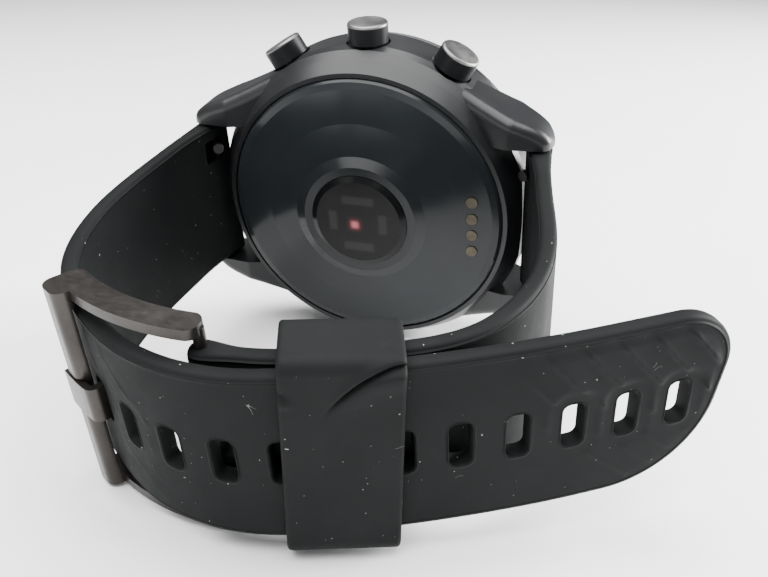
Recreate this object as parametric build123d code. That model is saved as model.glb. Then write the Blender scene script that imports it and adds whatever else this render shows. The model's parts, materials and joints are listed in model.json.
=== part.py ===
"""GPS running watch, buckled into a closed loop and lying on its side, written as one STEP file per piece.

Everything is drawn in the watch's own axes: X towards 12 o'clock, Y out through the display, Z towards the
three buttons, with the origin on the case axis at the plane of the back cover's rim. place() then leans the
whole watch about X until the case edge and the strap hardware stand on the floor, with +Z up.
"""
from build123d import *
from math import atan2, cos, degrees, radians, sin
import os

# ---------------------------------------------------------------- driving dimensions, mm
CASE_R = 23.0                 # outer radius of the case wall
CAVITY_R = 20.2               # radius of the room inside the case wall
CASE_EDGE_Y = 5.0             # where the wall reaches its full radius, the edge that the watch lies on
CASE_TOP_Y = 11.2             # front face of the case wall, under the bezel
GLASS_Y = 14.0                # outer face of the cover glass
GLASS_R = 18.8
GLASS_T = 1.2
GASKET_T = 0.4
LEDGE_R = 17.9                # inner radius of the bezel's ledge under the glass
COVER_R = 19.9                # back cover
WINDOW_R = 7.0                # sensor window
WINDOW_Y = -2.4               # its outer face
LUG_TIP_X = 25.9
LUG_Z = (11.35, 14.5)         # inner and outer side of each lug
LUG_ROUND = 1.5
BAR = (23.9, 4.2)             # spring bar axis, X and Y, mirrored for 6 o'clock
BAR_R = 0.9
PIN_R = 0.45                  # spring bar end pins
PIN_REACH = 1.3               # how far a pin goes into its lug
RELEASE_TRAVEL = 1.4
KNOB_Z = 7.65                 # where the release knob stands along its bar
KNOB_LEAN = 30.0              # how far it points from the back of the case towards the middle of the loop
KNOB_REACH = 3.4

STRAP_W = 22.0                # at the lugs
LOOP_W = 21.0                 # at the buckle, and from there to the tip
STRAP_T = 2.0
STRAP_END_R = 1.75            # round end of each strap about its spring bar
KNUCKLE_R = 1.45              # the buckle strap's round end about the buckle pin
HOLE = (2.65, 5.7)            # strap hole, along and across the strap
HOLE_PITCH = 5.7
HOLES_TO_LUG = 1              # holes on the lug side of the one that the tongue is in
HOLES_TO_TIP = 11             # holes on the tip side of it
TIP_SLANT = 3.4               # the lower corner of the tip stands back this far
TIP_R = (6.0, 12.0)           # upper and lower corner of the tip

BUTTON_ANGLES = {"upper": 30.0, "middle": 0.0, "lower": -30.0}   # degrees from Z towards 12 o'clock
BUTTON_Y = 6.6
CAP_R = 2.75
CAP_OUT = 25.6                # radius of a cap's outer face from the case axis
BUTTON_TRAVEL = 0.5
STEM_R = 1.0

BUCKLE_PIN = Vector(-0.6, -45.7)
BUCKLE_PIN_R = 0.65
FOOT_HALF = 13.3              # half height of the buckle frame, which the watch stands on
ARM_IN = 2.3                  # the arms reach this far inside and outside their line
ARM_OUT = 0.7
ARM_T = 1.2
ARM_END_R = 1.3
CROSSBAR_OUT = 2.3            # outer face of the crossbar from the arms' line
CROSSBAR_T = 1.4
CROSSBAR_LEN = 3.6
TONGUE_W = 4.4
TONGUE_T = 0.8
TONGUE_KNEE = Vector(-13.2, -41.9)   # where the tongue turns out through its hole
KEEPER_AT = Vector(12.4, -44.5)
KEEPER_ANGLE = 20.0
KEEPER_LEAN = 3.5             # how far it is askew on the straps
KEEPER_LEN = 11.6
KEEPER_WALL = 0.85
KEEPER_ROOM = 2.9             # half of the room inside the keeper, across the straps
KEEPER_HALF = 12.7            # half height of the keeper

PARTS = {}


def revolved(*outline):
    """A solid of revolution about the case axis from (radius, y) points."""
    return revolve(make_face(Polyline(*outline, close=True)), Axis.Y)


def disc(radius, y0, y1, x=0.0, z=0.0):
    """A round disc along the case axis between two y values."""
    return Pos(x, (y0 + y1) / 2, z) * Rot(90, 0, 0) * Cylinder(radius, y1 - y0)


def ring(outer, inner, y0, y1, x=0.0, z=0.0):
    return disc(outer, y0, y1, x, z) - disc(inner, y0 - 1, y1 + 1, x, z)


def block(x0, x1, y0, y1, z0, z1):
    return Pos((x0 + x1) / 2, (y0 + y1) / 2, (z0 + z1) / 2) * Box(x1 - x0, y1 - y0, z1 - z0)


def rod(radius, x, y, z0, z1):
    """A round rod along Z."""
    return Pos(x, y, (z0 + z1) / 2) * Cylinder(radius, z1 - z0)


def add(node, *solids):
    PARTS[node] = solids[0] if len(solids) == 1 else Compound(children=list(solids))


def button_frame(angle):
    """Local frame of a button: its Z runs out of the case along the button's axis."""
    out = Vector(sin(radians(angle)), 0, cos(radians(angle)))
    return Plane(origin=(0, BUTTON_Y, 0), x_dir=(0, 1, 0), z_dir=out).location


def across(tangent):
    """The direction out of the loop, square to a strap that runs along tangent in the XY plane."""
    return Vector(tangent.Y, -tangent.X)


# ---------------------------------------------------------------- case
RECESS_R = CAP_R + 0.25       # shallow well round each button cap
RECESS_FLOOR = 22.3
STEM_BORE_R = STEM_R + 0.05
SEAL_SEAT = (20.8, 21.6)      # radial span of the groove for a button's seal
SEAL_R = 1.7
CLIP_AT = 19.9                # middle of the clip that keeps a button's stem in, just inside the wall


def lug():
    """One lug, at 12 o'clock on the button side: its plan outline cut by its side outline, with rounded edges."""
    inner = LUG_Z[0]
    tip = Vector(LUG_TIP_X, inner + 0.7)
    plan = make_face(Polyline((13.0, 18.6), (13.0, inner), (LUG_TIP_X, inner), tip)
                     + Spline(tip, (25.2, 12.9), (23.4, 14.1), (21.0, 15.0), (17.8, 16.3), (13.0, 18.6)))
    side = make_face(Spline((25.1, 1.3), (LUG_TIP_X, 4.2), (24.6, 7.4)) + Line((24.6, 7.4), (20.5, 9.8))
                     + Line((20.5, 9.8), (13.0, 9.8)) + Line((13.0, 9.8), (13.0, 2.8))
                     + Line((13.0, 2.8), (20.0, 0.9)) + Line((20.0, 0.9), (25.1, 1.3)))
    tall = extrude(Plane.XZ * plan, amount=12, both=True)
    wide = extrude(side, amount=20, both=True)
    horn = tall & wide
    outer_edges = [e for e in horn.edges() if e.center().Z > inner + 0.05 and e.center().X > 13.5]
    return fillet(outer_edges, LUG_ROUND) - disc(CAVITY_R + 0.8, -5, 20)


def make_case():
    wall = revolved((18.6, 1.6), (20.0, 1.6), (20.0, 0.5), (20.6, 0.5), (21.9, 2.4), (22.7, 3.7),
                    (CASE_R, CASE_EDGE_Y), (CASE_R, 10.4), (22.6, CASE_TOP_Y), (CAVITY_R, CASE_TOP_Y),
                    (CAVITY_R, 2.6), (18.6, 2.6))
    corner = lug()
    body = wall + [corner, mirror(corner, Plane.XY), mirror(corner, Plane.YZ),
                   mirror(mirror(corner, Plane.XY), Plane.YZ)]
    for side in (1, -1):
        body -= rod(PIN_R + 0.05, side * BAR[0], BAR[1], -LUG_Z[0] - PIN_REACH - 0.1, LUG_Z[0] + PIN_REACH + 0.1)
        body -= rod(STRAP_END_R + 0.35, side * BAR[0], BAR[1], -LUG_Z[0], LUG_Z[0])
    for angle in BUTTON_ANGLES.values():
        at = button_frame(angle)
        body -= at * Pos(0, 0, 15) * Cylinder(STEM_BORE_R, 30, align=(Align.CENTER, Align.CENTER, Align.MIN))
        body -= at * Pos(0, 0, RECESS_FLOOR) * Cylinder(RECESS_R, 5, align=(Align.CENTER, Align.CENTER, Align.MIN))
        depth = SEAL_SEAT[1] - SEAL_SEAT[0]
        body -= at * Pos(0, 0, sum(SEAL_SEAT) / 2) * Cylinder(SEAL_R, depth)
    body -= ring(19.6, 19.0, 1.1, 2.0)
    add("mid_case", body)


def make_back():
    """Domed back cover with the sensor window, its seal and the charging contacts."""
    shell = revolved((WINDOW_R + 0.05, -1.9), (8.2, -1.9), (9.6, -1.35), (14.0, -0.55), (18.6, 0.0), (19.5, 0.25),
                     (COVER_R, 0.7), (COVER_R, 1.58), (18.4, 1.58), (18.4, 1.2), (13.8, 0.65), (9.4, -0.15),
                     (8.0, -0.7), (WINDOW_R - 0.9, -0.7), (WINDOW_R - 0.9, -1.35), (WINDOW_R + 0.05, -1.35))
    spots = [(15.8, (i - 1.5) * 2.54) for i in range(4)]
    for x, z in spots:
        shell -= disc(0.85, -3, 3, x, z)
    add("back_cover", shell)
    add("back_cover_seal", ring(19.6, 19.0, 1.6, 2.0))
    add("sensor_window", revolved((0, WINDOW_Y), (6.2, WINDOW_Y), (WINDOW_R, -2.0), (WINDOW_R, -1.36), (0, -1.36)))
    add("charging_contacts", *[disc(0.8, -0.45, 2.2, x, z) + disc(0.5, 2.1, 2.9, x, z) for x, z in spots])
    add("sensor_board", disc(5.9, -1.3, -0.75) - [disc(0.6, -3, 3, 4.4, 2.2), disc(0.6, -3, 3, -4.4, -2.2)])
    add("sensor_photodiode", block(-1.1, 1.1, -0.75, -0.25, -1.1, 1.1))
    chips = [(0, 3.6), (0, -3.6), (3.6, 0), (-3.6, 0)]
    add("sensor_leds", *[block(x - 0.7, x + 0.7, -0.75, -0.35, z - 0.5, z + 0.5) for x, z in chips])


FLEX_X = (-3.2, 4.2)          # the display flex passes beside a frame screw


def make_front():
    """Bezel, glass and display stack."""
    ledge_y = GLASS_Y - GLASS_T - GASKET_T
    add("bezel_ring", revolved((LEDGE_R, CASE_TOP_Y), (22.5, CASE_TOP_Y), (22.7, 11.7), (22.3, 13.0),
                               (20.6, GLASS_Y), (GLASS_R + 0.05, GLASS_Y), (GLASS_R + 0.05, ledge_y),
                               (LEDGE_R, ledge_y)))
    add("cover_glass", disc(GLASS_R, GLASS_Y - GLASS_T, GLASS_Y))
    add("glass_gasket", ring(GLASS_R - 0.1, LEDGE_R, ledge_y, GLASS_Y - GLASS_T))
    add("display_panel", disc(17.6, 11.0, 12.6) - block(-20, 20, 10, 14, -20, -16.8))
    add("display_flex", block(*FLEX_X, 7.6, 10.9, -16.4, -16.1) + block(*FLEX_X, 10.7, 10.95, -16.4, -13.0))


FRAME_R = (18.8, 20.1)
BOARD_Y = (6.7, 7.5)
MOTOR_AT = (12.7, -7.4)
SCREW_SPOTS = [(17.0 * sin(radians(a)), 17.0 * cos(radians(a))) for a in (75, 195, 285)]


def make_inside():
    """Inner frame, boards, battery, motor and aerial."""
    frame = ring(FRAME_R[1], FRAME_R[0], 2.7, 10.9)
    for x, z in SCREW_SPOTS:
        frame += disc(1.9, 4.2, BOARD_Y[0], x, z) & disc(FRAME_R[1], 0, 12)
    for angle in BUTTON_ANGLES.values():
        frame -= button_frame(angle) * Pos(0, 0, 19) * Box(5.6, 5.6, 5)
    for x, z in SCREW_SPOTS:
        frame -= disc(0.5, 4.8, 12, x, z)
    add("inner_frame", frame)
    board = disc(18.6, *BOARD_Y) - block(-4.6, 4.6, 5, 9, -20, -15.4)
    for angle in BUTTON_ANGLES.values():
        board -= button_frame(angle) * Pos(0, 0, 19) * Box(5.4, 5.4, 5.4)
    for x, z in SCREW_SPOTS:
        board -= disc(0.6, 5, 9, x, z)
    add("main_board", board)
    add("frame_screws", *[disc(0.5, 5.0, BOARD_Y[1] + 0.1, x, z) + disc(0.95, BOARD_Y[1], BOARD_Y[1] + 0.6, x, z)
                          for x, z in SCREW_SPOTS])
    can = block(-8.0, 4.0, BOARD_Y[1], 8.9, -9.5, 2.5) - block(-7.8, 3.8, BOARD_Y[1] - 1, 8.7, -9.3, 2.3)
    add("shield_can", can)
    add("processor", block(-6.0, 2.0, BOARD_Y[1], 8.4, -7.5, 0.5))
    add("gps_aerial", block(6.0, 14.0, BOARD_Y[1], 9.7, -4.0, 4.0))
    add("battery", fillet(block(-12.5, 8.8, 2.3, 6.2, -10.5, 13.0).edges().filter_by(Axis.Y), 1.2))
    add("vibration_motor", disc(3.5, 3.0, 5.9, *MOTOR_AT) - disc(0.5, 2, 3.6, *MOTOR_AT))
    seats = [button_frame(a) * Pos(0, 0, 17.2) * Box(3.4, 3.4, 1.8) for a in BUTTON_ANGLES.values()]
    domes = [button_frame(a) * Pos(0, 0, 18.35) * Cylinder(0.8, 0.5) for a in BUTTON_ANGLES.values()]
    add("button_switches", *[s + d for s, d in zip(seats, domes)])


def make_buttons():
    """Each button is a cap with its stem, a clip inside the case that keeps it in, and a seal in the wall."""
    seals = []
    for name, angle in BUTTON_ANGLES.items():
        at = button_frame(angle)
        cap = Pos(0, 0, (23.0 + CAP_OUT) / 2) * Cylinder(CAP_R, CAP_OUT - 23.0)
        cap = fillet(cap.edges().group_by(Axis.Z)[-1], 0.35)
        groove = Cylinder(STEM_R + 1, 0.4) - Cylinder(STEM_R - 0.3, 0.4)
        stem = Pos(0, 0, (18.6 + BUTTON_TRAVEL + 23.1) / 2) * Cylinder(STEM_R, 23.1 - 18.6 - BUTTON_TRAVEL)
        body = cap + stem - Pos(0, 0, CLIP_AT) * groove
        add(f"button_{name}", at * body)
        clip = Cylinder(STEM_R + 0.65, 0.36) - Cylinder(STEM_R - 0.28, 0.4) - Pos(2, 0, 0) * Box(4, 1.1, 1)
        add(f"button_{name}_clip", at * Pos(0, 0, CLIP_AT) * clip)
        depth = SEAL_SEAT[1] - SEAL_SEAT[0]
        seal = Cylinder(SEAL_R, depth) - Cylinder(STEM_R + 0.02, depth)
        seals.append(at * Pos(0, 0, sum(SEAL_SEAT) / 2) * seal)
    add("button_seals", *seals)


# ---------------------------------------------------------------- straps
TONGUE_HOLE = Vector(-13.9, -43.7)
HOLE_SIDE_LINE = Spline((-23.9, 4.2), (-24.8, -1.0), (-25.5, -8), (-26.0, -15), (-26.0, -22), (-24.8, -29),
                        (-21.9, -35.8), (-17.2, -41.1), (-13.9, -43.7), (-8.6, -46.95), (-3.0, -48.65),
                        (2.6, -48.85), (7.6, -47.8), (13.6, -45.6), (19.4, -43.1), (26.0, -39.9), (32.6, -36.3),
                        (39.6, -32.0), (48.5, -26.4))
BUCKLE_SIDE_LINE = Spline((23.9, 4.2), (25.2, -2), (26.4, -8.5), (27.6, -14.5), (28.5, -21), (28.3, -27),
                          (26.7, -32.6), (23.7, -37.2), (19.4, -40.3), (13.6, -42.7), (8, -44.7), (3.6, -45.55),
                          (-0.6, -45.7))
STATIONS = 36
THICK_END = 10.0              # length over which a strap thins from its lug end


def ribbon(line):
    """A strap's outline in plan: its centre line with half the thickness each side, thicker at the lug."""
    sides = {1: [], -1: []}
    for i in range(STATIONS + 1):
        t = i / STATIONS
        swell = max(0.0, 1 - t * line.length / THICK_END)
        half = STRAP_T / 2 + (STRAP_END_R - 0.15 - STRAP_T / 2) * swell ** 2
        for side in sides:
            sides[side].append(line @ t + across(line % t) * side * half)
    out, back = Spline(*sides[1]), Spline(*sides[-1])
    return make_face(out + back + Line(out @ 0, back @ 0) + Line(out @ 1, back @ 1))


def strap(line, side):
    """A strap with its round lug end and the bore and slot for its quick-release bar."""
    x, y = side * BAR[0], BAR[1]
    half, low = STRAP_W / 2, LOOP_W / 2
    body = extrude(ribbon(line), amount=half, both=True) + rod(STRAP_END_R, x, y, -half, half)
    taper = Polyline((10, -half), (10, half), (-6, half), (-38, low), (-60, low), (-60, -low), (-38, -low),
                     (-6, -half), close=True)
    body = body & extrude(Plane.YZ * make_face(taper), amount=70, both=True)
    body = body - rod(BAR_R, x, y, -half - 1, half + 1)
    slot = block(-1.0, 1.0, -4.5, 0.0, KNOB_Z - 1.0 - RELEASE_TRAVEL, KNOB_Z + 1.0)
    return body - Pos(x, y, 0) * Rot(0, 0, -KNOB_LEAN * side) * slot


def hole_frame(distance):
    """Frame on the hole strap's centre line, X along the strap and Z out of the loop."""
    at = HOLE_SIDE_LINE.position_at(distance, PositionMode.LENGTH)
    along = HOLE_SIDE_LINE.tangent_at(distance, PositionMode.LENGTH)
    return Plane(origin=at, x_dir=along, z_dir=across(along))


def tongue_station():
    """Distance along the hole strap to the hole that the tongue is in."""
    return HOLE_SIDE_LINE.param_at_point(TONGUE_HOLE) * HOLE_SIDE_LINE.length


def make_hole_strap():
    body = strap(HOLE_SIDE_LINE, -1)
    first = tongue_station()
    for i in range(-HOLES_TO_LUG, HOLES_TO_TIP + 1):
        cut = hole_frame(first + i * HOLE_PITCH) * RectangleRounded(*HOLE, 0.9)
        body -= extrude(cut, amount=3, both=True)
    tip = hole_frame(HOLE_SIDE_LINE.length)
    half, back = LOOP_W / 2, -24.0
    outline = make_face(Polyline((back, half), (0, half), (-TIP_SLANT, -half), (back, -half), close=True))
    for corner, radius in zip(outline.vertices().sort_by(Axis.X)[2:], reversed(TIP_R)):
        outline = fillet(outline.vertices().sort_by_distance(corner)[0], radius)
    waste = Pos(back / 2 + 1, 0) * Rectangle(-back + 2, STRAP_W + 4) - outline
    body -= extrude(tip * waste, amount=8, both=True)
    add("strap_hole_side", body)


def make_buckle_strap():
    """The strap that carries the buckle: its far end is two knuckles round the buckle pin."""
    half = LOOP_W / 2
    pin_x, pin_y = BUCKLE_PIN.X, BUCKLE_PIN.Y
    body = strap(BUCKLE_SIDE_LINE, 1) + rod(KNUCKLE_R, pin_x, pin_y, -half, half)
    body -= rod(BUCKLE_PIN_R + 0.05, pin_x, pin_y, -half - 2, half + 2)
    slot = TONGUE_W / 2 + 0.4
    body -= block(pin_x - 4, pin_x + 2.4, pin_y - 1.6, pin_y + 3, -slot, slot)
    add("strap_buckle_side", body)


def make_spring_bars():
    """Quick-release spring bar in each strap: tube, fixed pin, and a sliding pin with its thumb knob."""
    half = STRAP_W / 2
    for name, side in (("twelve_oclock", 1), ("six_oclock", -1)):
        x, y = side * BAR[0], BAR[1]
        tube = rod(BAR_R, x, y, -half + 0.3, half - 0.3) - rod(BAR_R - 0.3, x, y, -half + 1.5, half)
        lean = Pos(x, y, 0) * Rot(0, 0, -KNOB_LEAN * side)
        knob_slot = block(-0.5, 0.5, -2, 0, KNOB_Z - 0.5 - RELEASE_TRAVEL, KNOB_Z + 0.5)
        add(f"{name}_bar_tube", tube - lean * knob_slot)
        reach = LUG_Z[0] + PIN_REACH
        add(f"{name}_bar_fixed_pin", rod(PIN_R, x, y, -reach, -half + 0.3))
        pin = rod(PIN_R, x, y, KNOB_Z - 2.5, reach)
        knob = disc(0.4, -KNOB_REACH, 0, z=KNOB_Z) + disc(0.75, -KNOB_REACH, -KNOB_REACH + 0.7, z=KNOB_Z)
        add(f"{name}_bar_release", pin + lean * knob)


# ---------------------------------------------------------------- buckle and keeper
ARM_LINE = ThreePointArc((-18.3, -41.4), (-9.5, -45.6), (-0.1, -46.6))
NOTCH_DEPTH = 0.7


def arm_band(line, inner, outer):
    """A band along an arc between two offsets, outwards positive."""
    pairs = [[line @ t + across(line % t) * offset for t in (0, 0.5, 1)] for offset in (inner, outer)]
    near, far = (ThreePointArc(*p) for p in pairs)
    return make_face(near + far + Line(near @ 0, far @ 0) + Line(near @ 1, far @ 1))


def make_buckle():
    """U-shaped frame: two arms beside the strap and a crossbar outside it, turning on the buckle pin."""
    share = CROSSBAR_LEN / ARM_LINE.length
    arm = arm_band(ARM_LINE, -ARM_IN, ARM_OUT)
    head = arm_band(ARM_LINE.trim(0, share), -ARM_IN, CROSSBAR_OUT)
    plate = fillet(arm.vertices(), ARM_END_R) + fillet(head.vertices(), ARM_END_R)
    z1 = FOOT_HALF
    room = arm_band(ARM_LINE, -2 * ARM_IN, 2 * CROSSBAR_OUT) + Pos(3, -1) * Rectangle(9, 14)
    frame = extrude(plate, amount=z1, both=True) - extrude(room, amount=z1 - ARM_T, both=True)
    crossbar = arm_band(ARM_LINE.trim(0, share), CROSSBAR_OUT - CROSSBAR_T, CROSSBAR_OUT) & plate
    frame += extrude(crossbar, amount=z1 - ARM_T / 2, both=True)
    notch = arm_band(ARM_LINE.trim(0, 2 * share), CROSSBAR_OUT - NOTCH_DEPTH, 2 * CROSSBAR_OUT)
    notch += Pos(-21, -42) * Rectangle(3, 6)
    frame -= extrude(notch, amount=TONGUE_W / 2 + 0.2, both=True)
    pin_x, pin_y = BUCKLE_PIN.X, BUCKLE_PIN.Y
    pin = rod(BUCKLE_PIN_R, pin_x, pin_y, -z1 + 0.6, z1 - 0.6)
    add("buckle_frame", frame - pin)
    add("buckle_pin", pin)


def make_tongue():
    """Tongue: barrel on the pin, a bar inside the strap, a cranked step through the hole, and a tip in the notch."""
    barrel_r = BUCKLE_PIN_R + 0.65
    top = CROSSBAR_OUT - NOTCH_DEPTH + 0.1 + TONGUE_T / 2
    share = CROSSBAR_LEN / ARM_LINE.length
    bend, inner, middle, end = (ARM_LINE @ t + across(ARM_LINE % t) * top
                                for t in (1.4 * share, share, 0.5 * share, 0.06 * share))
    path = FilletPolyline(BUCKLE_PIN, TONGUE_KNEE, bend, inner, radius=0.7) + Spline(inner, middle, end)
    blade = trace(path, TONGUE_T)
    body = extrude(blade, amount=TONGUE_W / 2, both=True)
    body += rod(barrel_r, BUCKLE_PIN.X, BUCKLE_PIN.Y, -TONGUE_W / 2, TONGUE_W / 2)
    body -= rod(BUCKLE_PIN_R + 0.03, BUCKLE_PIN.X, BUCKLE_PIN.Y, -TONGUE_W, TONGUE_W)
    add("buckle_tongue", body)


def make_keeper():
    room = KEEPER_ROOM
    outer = RectangleRounded(2 * (room + KEEPER_WALL), 2 * KEEPER_HALF, 1.2)
    inner = RectangleRounded(2 * room, 2 * (KEEPER_HALF - 1.0), 0.6)
    along = Vector(cos(radians(KEEPER_ANGLE)), sin(radians(KEEPER_ANGLE)))
    frame = Plane(origin=KEEPER_AT, x_dir=across(along), z_dir=along).location * Rot(KEEPER_LEAN, 0, 0)
    add("strap_keeper", extrude(frame * (outer - inner), amount=KEEPER_LEN / 2, both=True))


# ---------------------------------------------------------------- placing and writing
def lean_angle():
    """How far the watch leans about X to stand on the case edge and on the front of the buckle arms."""
    front = min((ARM_LINE @ t + across(ARM_LINE % t) * ARM_OUT).Y for t in (0.8, 0.85, 0.9, 0.95))
    return degrees(atan2(CASE_R - FOOT_HALF, CASE_EDGE_Y - front))


def placement(solids):
    """The move from the watch's own axes to the row frame: leaned, on the floor, centred on its box."""
    lean = Rot(lean_angle(), 0, 0)
    box = Compound(children=[lean * s for s in solids]).bounding_box()
    centre = box.center()
    return Pos(-centre.X, -centre.Y, -box.min.Z) * lean


def main():
    make_case()
    make_back()
    make_front()
    make_inside()
    make_buttons()
    make_hole_strap()
    make_buckle_strap()
    make_spring_bars()
    make_buckle()
    make_tongue()
    make_keeper()
    move = placement(PARTS.values())
    os.makedirs("parts", exist_ok=True)
    for node, shape in PARTS.items():
        export_step(move * shape, f"parts/{node}.step")
    print("lean", round(lean_angle(), 3), "move", move)


main()
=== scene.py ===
import json
import math

import bpy
import numpy as np
from mathutils import Matrix, Vector
from mathutils.geometry import delaunay_2d_cdt


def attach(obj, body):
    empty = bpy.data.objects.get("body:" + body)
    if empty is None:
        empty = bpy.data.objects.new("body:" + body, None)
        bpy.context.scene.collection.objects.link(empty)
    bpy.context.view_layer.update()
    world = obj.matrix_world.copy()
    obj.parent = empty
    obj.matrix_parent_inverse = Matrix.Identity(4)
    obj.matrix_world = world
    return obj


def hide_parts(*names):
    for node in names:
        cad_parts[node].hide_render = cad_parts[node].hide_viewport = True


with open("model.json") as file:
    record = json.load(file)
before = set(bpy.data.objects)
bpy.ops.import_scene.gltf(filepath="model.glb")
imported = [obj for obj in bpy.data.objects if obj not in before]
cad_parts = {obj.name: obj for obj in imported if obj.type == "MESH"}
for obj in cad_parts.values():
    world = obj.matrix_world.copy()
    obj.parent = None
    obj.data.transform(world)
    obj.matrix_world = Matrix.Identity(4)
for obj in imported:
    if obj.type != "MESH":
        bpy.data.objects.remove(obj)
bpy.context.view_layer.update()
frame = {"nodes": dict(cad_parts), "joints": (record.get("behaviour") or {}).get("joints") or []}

MM = 0.001

# ---------------------------------------------------------------- the watch's own axes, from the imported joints
JOINTS = {joint["name"]: joint for joint in frame["joints"]}
SIX_BAR = Vector(JOINTS["six_oclock_strap_swing"]["pos_m"])
TWELVE_BAR = Vector(JOINTS["twelve_oclock_strap_swing"]["pos_m"])
X_DIR = (TWELVE_BAR - SIX_BAR).normalized()
Z_DIR = Vector(JOINTS["six_oclock_strap_swing"]["axis"]).normalized()
Y_DIR = Z_DIR.cross(X_DIR)
BAR_X = (TWELVE_BAR - SIX_BAR).length / 2 / MM
BAR_Y = 4.2                   # the spring bars' height above the back cover's rim, mm
WATCH = Matrix((X_DIR, Y_DIR, Z_DIR)).transposed().to_4x4()
WATCH.translation = (SIX_BAR + TWELVE_BAR) / 2 - Y_DIR * BAR_Y * MM
WATCH_ROT = np.array(WATCH.to_3x3())
WATCH_POS = np.array(WATCH.translation)


def to_row(points):
    """Points in the watch's axes, mm, to the row frame, m."""
    return np.asarray(points, float) @ (WATCH_ROT.T * MM) + WATCH_POS


def in_watch(point):
    """A point of the row frame, m, in the watch's axes, mm."""
    return WATCH.inverted() @ Vector(point) / MM


PIN = in_watch(JOINTS["buckle_swing"]["pos_m"])

# ---------------------------------------------------------------- strap dimensions, mm
STRAP_W = 22.0                # at the lugs
LOOP_W = 21.0                 # round the loop
STRAP_T = 2.0
TAPER = (10.0, 42.0)          # the width falls between these lengths from the spring bar
LUG_END_R = 1.75
LUG_CORNER_R = 0.9
KNUCKLE_R = 1.45              # round the buckle's pin
KNUCKLE_BLEND = 4.0           # length over which the strap thickens to the knuckle
KNUCKLE_NOTCH = (4.3, 2.6)    # depth and half height of the gap the tongue's eye sits in
THICK_END = 10.0
HOLE = (2.65, 5.7)
HOLE_CORNER_R = 0.75
HOLE_PITCH = 5.7
TONGUE_HOLE = (-13.9, -43.7)
HOLES_TO_LUG = 1
HOLES_TO_TIP = 11
TIP_SLANT = 3.4
TIP_R = (6.0, 12.0)           # the tip's upper and lower corner
EDGE_R = 0.62
HOLE_EDGE_R = 0.15
SLOT_AT = (3.0, 7.1)          # middle of the slot over the quick-release knob
SLOT_HALF = (1.4, 1.9)
SLOT_CORNER_R = 0.7
SLOT_DEPTH = 1.3
POCKET_LIP = 0.12             # width and depth of the bevel round a slot
POCKET_LIP_DEPTH = 0.14
PLAIN_FROM = 44.0             # beyond this length both outlines are at the loop's width
RIM_FULL = 0.96               # a rim's radius stays under this share of the half thickness
FINE_GRID = 0.3               # spacing of the ridged face's points
PLAIN_GRID = 0.4              # and of the other faces'
RIM_LAND = 0.3                # flat border kept beside every rounded rim
RELIEF_FADE = 1.1             # width over which the ridges die away beside a rim
HOLE_SIDE_LINE = [(-BAR_X, BAR_Y), (-24.8, -1.0), (-25.5, -8), (-26.0, -15), (-26.0, -22), (-24.8, -29),
                  (-21.9, -35.8), (-17.2, -41.1), (-13.9, -43.7), (-8.6, -46.95), (-3.0, -48.65),
                  (2.6, -48.85), (7.6, -47.8), (13.6, -45.6), (19.4, -43.1), (26.0, -39.9), (32.6, -36.3),
                  (39.6, -32.0), (48.5, -26.4)]
BUCKLE_SIDE_LINE = [(BAR_X, BAR_Y), (25.2, -2), (26.4, -8.5), (27.6, -14.5), (28.5, -21), (28.3, -27),
                    (26.7, -32.6), (23.7, -37.2), (19.4, -40.3), (13.6, -42.7), (8, -44.7), (3.6, -45.55),
                    (PIN.x, PIN.y)]


class Route:
    """A smooth curve through points in the XY plane, read by length, that knows the way out of the loop."""

    def __init__(self, points):
        p = np.array(points, float)
        knots = np.concatenate([[0], np.cumsum(np.linalg.norm(np.diff(p, axis=0), axis=1))])
        gaps = np.diff(knots)
        n = len(p)
        system = np.eye(n)
        right = np.zeros((n, 2))
        for i in range(1, n - 1):
            system[i, i - 1:i + 2] = gaps[i - 1], 2 * (gaps[i - 1] + gaps[i]), gaps[i]
            right[i] = 6 * ((p[i + 1] - p[i]) / gaps[i] - (p[i] - p[i - 1]) / gaps[i - 1])
        bend = np.linalg.solve(system, right)
        fine = []
        for i in range(n - 1):
            a = np.linspace(0, 1, 60, endpoint=i == n - 2)[:, None]
            b = 1 - a
            g = gaps[i] ** 2 / 6
            fine.append(b * p[i] + a * p[i + 1] + g * ((b ** 3 - b) * bend[i] + (a ** 3 - a) * bend[i + 1]))
        self.points = np.concatenate(fine)
        steps = np.linalg.norm(np.diff(self.points, axis=0), axis=1)
        self.at = np.concatenate([[0], np.cumsum(steps)])
        self.length = self.at[-1]
        slope = np.gradient(self.points, self.at, axis=0)
        self.along = slope / np.linalg.norm(slope, axis=1, keepdims=True)

    def _read(self, table, s):
        return np.stack([np.interp(s, self.at, table[:, k]) for k in (0, 1)], -1)

    def place(self, s, w, h):
        """Points at length s, height w across the strap and h out of the loop, in the watch's axes."""
        s, w, h = (np.asarray(v, float) for v in (s, w, h))
        clamped = np.clip(s, 0, self.length)
        along = self._read(self.along, clamped)
        along /= np.linalg.norm(along, axis=1, keepdims=True)
        centre = self._read(self.points, clamped) + along * (s - clamped)[:, None]
        out = np.stack([along[:, 1], -along[:, 0]], -1)
        flat = centre + out * h[:, None]
        return np.column_stack([flat, w])

    def nearest(self, point):
        return self.at[np.argmin(np.linalg.norm(self.points - np.array(point), axis=1))]


# ---------------------------------------------------------------- mesh helpers
def make_object(name, points, faces, body, material):
    """A smooth mesh object from points in the row frame, riding on a body."""
    mesh = bpy.data.meshes.new(name)
    mesh.from_pydata([tuple(p) for p in points], [], [tuple(int(i) for i in f) for f in faces])
    mesh.validate()
    mesh.update()
    for polygon in mesh.polygons:
        polygon.use_smooth = True
    obj = bpy.data.objects.new(name, mesh)
    bpy.context.scene.collection.objects.link(obj)
    obj.data.materials.append(material)
    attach(obj, body)
    return obj


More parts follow.
